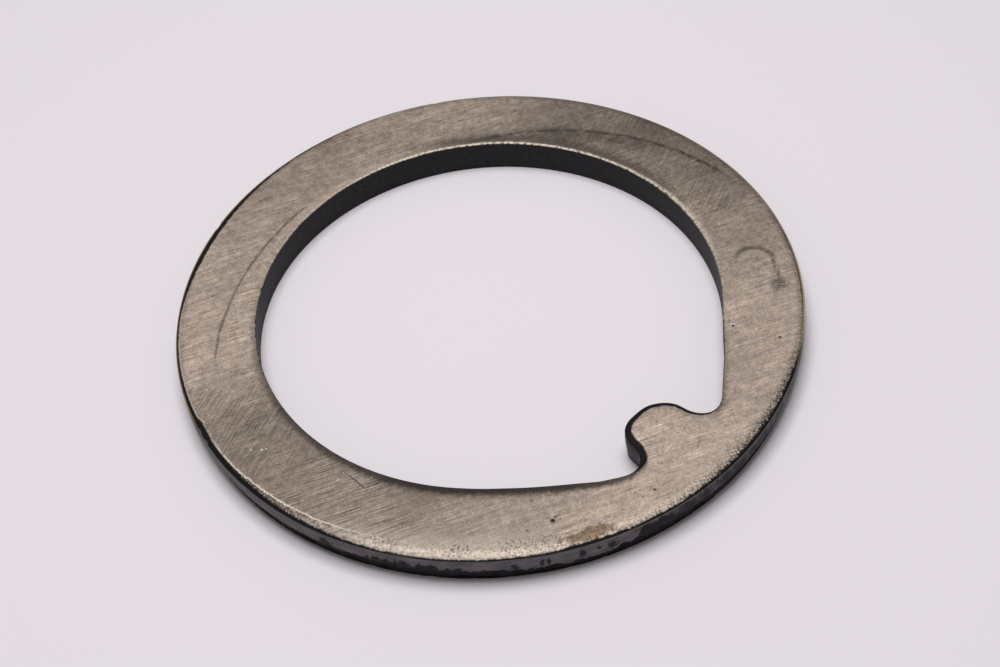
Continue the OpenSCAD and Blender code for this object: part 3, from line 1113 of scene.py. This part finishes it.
def steel():
    s = Shader("washer_steel")
    at = Places(s)
    colour, ground_relief = ground_face(s, at)
    colour = shaded(s, at, colour)
    colour = wear_arcs(s, at, colour)
    colour = spots(s, at, colour)
    colour, hole_oxide = hole_edge(s, at, colour)
    colour, rim_oxide = rim_edge(s, at, colour)
    on_rim = s.mul(below(s, at, RIM_ROLL, RIM_WALL_EDGE), s.ramp(at.hole_d, *ON_RIM_EDGE))
    in_hole = s.mul(s.ramp(at.hole_d, *IN_HOLE_EDGE), below(s, at, HOLE_ROLL, HOLE_WALL_EDGE))
    wall, torn = rim_wall(s, at)
    colour = s.mix(on_rim, colour, wall)
    colour = s.mix(in_hole, colour, hole_wall(s, at))
    rim_dark = s.blend(on_rim, rim_oxide, s.blend(torn, SATIN_DARK, 1.0))
    dark = s.most(s.most(hole_oxide, in_hole), rim_dark)

    s.feed(s.surface.inputs["Base Color"], colour)
    s.feed(s.surface.inputs["Metallic"], s.blend(dark, *METALLIC))
    s.surface.inputs["Specular IOR Level"].default_value = SPECULAR
    bare_rough = s.plus(BARE_ROUGH, s.sway(ROUGH_SWAY, at.mottle))
    s.feed(s.surface.inputs["Roughness"], s.blend(dark, bare_rough, DARK_ROUGH))
    bump = s.nodes.new("ShaderNodeBump")
    bump.inputs["Strength"].default_value = BUMP_STRENGTH
    bump.inputs["Distance"].default_value = BUMP_MM * MM
    s.feed(bump.inputs["Height"], relief(s, at, dark, on_rim, ground_relief))
    s.links.new(bump.outputs[0], s.surface.inputs["Normal"])
    return s.material


# Floor, light and camera

# Side of the floor, in metres
FLOOR_SIDE = 6.0
FLOOR_COLOUR = rgb(229, 223, 228)
FLOOR_ROUGH = 0.9
FLOOR_SPECULAR = 0.1
WORLD_COLOUR = (1.0, 0.985, 1.0, 1.0)
WORLD_STRENGTH = 0.23
# The lamp: its power in watts, its side and distance in metres, and where it stands
LAMP_POWER = 1.09
LAMP_SIDE = 0.20
LAMP_AWAY = 0.36
LAMP_A = 190.0
LAMP_UP = 87.5
IMAGE_W, IMAGE_H = 1000, 667
# The camera, as read from the outlines in the photograph: focal length and principal point in
# pixels, distance in rim radii, and where it stands round the part
FOCAL_PX = 1762.7
CENTRE_PX = (490.32, 324.35)
DISTANCE = 5.6994
ELEVATION = 47.515
ROLL = -6.460
AZIMUTH = -38.022
SENSOR = 36.0
# Nearest distance that it sees, in metres
CLIP_START = 0.01


def make_floor():
    half = FLOOR_SIDE / 2
    corners = [(-half, -half, 0), (half, -half, 0), (half, half, 0), (-half, half, 0)]
    mesh = bpy.data.meshes.new("floor")
    mesh.from_pydata(corners, [], [(0, 1, 2, 3)])
    floor = bpy.data.objects.new("floor", mesh)
    bpy.context.scene.collection.objects.link(floor)
    material = bpy.data.materials.new("floor")
    material.use_nodes = True
    surface = material.node_tree.nodes["Principled BSDF"]
    surface.inputs["Base Color"].default_value = FLOOR_COLOUR
    surface.inputs["Roughness"].default_value = FLOOR_ROUGH
    surface.inputs["Specular IOR Level"].default_value = FLOOR_SPECULAR
    mesh.materials.append(material)


def sphere_point(up, a):
    """Direction from the origin, at a height and an angle."""
    level = math.cos(math.radians(up))
    return np.array([*(level * unit(a)), math.sin(math.radians(up))])


def make_lights():
    """A pale world, and one soft lamp, almost overhead, that faces the origin."""
    world = bpy.data.worlds.new("studio")
    world.use_nodes = True
    background = world.node_tree.nodes["Background"]
    background.inputs["Color"].default_value = WORLD_COLOUR
    background.inputs["Strength"].default_value = WORLD_STRENGTH
    bpy.context.scene.world = world
    light = bpy.data.lights.new("key_light", "AREA")
    light.energy = LAMP_POWER
    light.size = LAMP_SIDE
    lamp = bpy.data.objects.new("key_light", light)
    bpy.context.scene.collection.objects.link(lamp)
    away = sphere_point(LAMP_UP, LAMP_A)
    right = np.cross((0, 0, 1), away)
    right /= np.linalg.norm(right)
    lamp.location = LAMP_AWAY * away
    lamp.rotation_euler = Matrix(np.stack([right, np.cross(away, right), away], 1)).to_euler()


def camera_axes(away):
    """The camera's right, down and ahead: it looks at the origin, then rolls, and turns until the
    principal point is where the photograph has it."""
    right = np.cross(-away, (0, 0, 1))
    right /= np.linalg.norm(right)
    axes = np.stack([right, np.cross(-away, right), -away])
    off_x, off_y = CENTRE_PX[0] - IMAGE_W / 2, CENTRE_PX[1] - IMAGE_H / 2
    a = math.atan(off_x / FOCAL_PX)
    b = math.atan(off_y / math.hypot(FOCAL_PX, off_x))
    r = math.radians(ROLL)
    pan = np.array([[math.cos(a), 0, math.sin(a)], [0, 1, 0], [-math.sin(a), 0, math.cos(a)]])
    tilt = np.array([[1, 0, 0], [0, math.cos(b), math.sin(b)], [0, -math.sin(b), math.cos(b)]])
    lean = np.array([[math.cos(r), -math.sin(r), 0], [math.sin(r), math.cos(r), 0], [0, 0, 1]])
    return pan @ tilt @ lean @ axes


def make_camera():
    away = sphere_point(ELEVATION, AZIMUTH)
    right, down, ahead = camera_axes(away)
    data = bpy.data.cameras.new("camera")
    data.sensor_width = SENSOR
    data.lens = FOCAL_PX / IMAGE_W * SENSOR
    data.clip_start = CLIP_START
    camera = bpy.data.objects.new("camera", data)
    bpy.context.scene.collection.objects.link(camera)
    turn = Matrix(np.stack([right, -down, -ahead], 1))
    camera.matrix_world = Matrix.Translation(away * DISTANCE * RIM_R * MM) @ turn.to_4x4()
    bpy.context.scene.camera = camera


make_camera()
make_lights()
make_floor()
bpy.context.scene.view_settings.view_transform = "Standard"

washer = make_washer(steel())
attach(washer, "root")
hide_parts("key_washer")
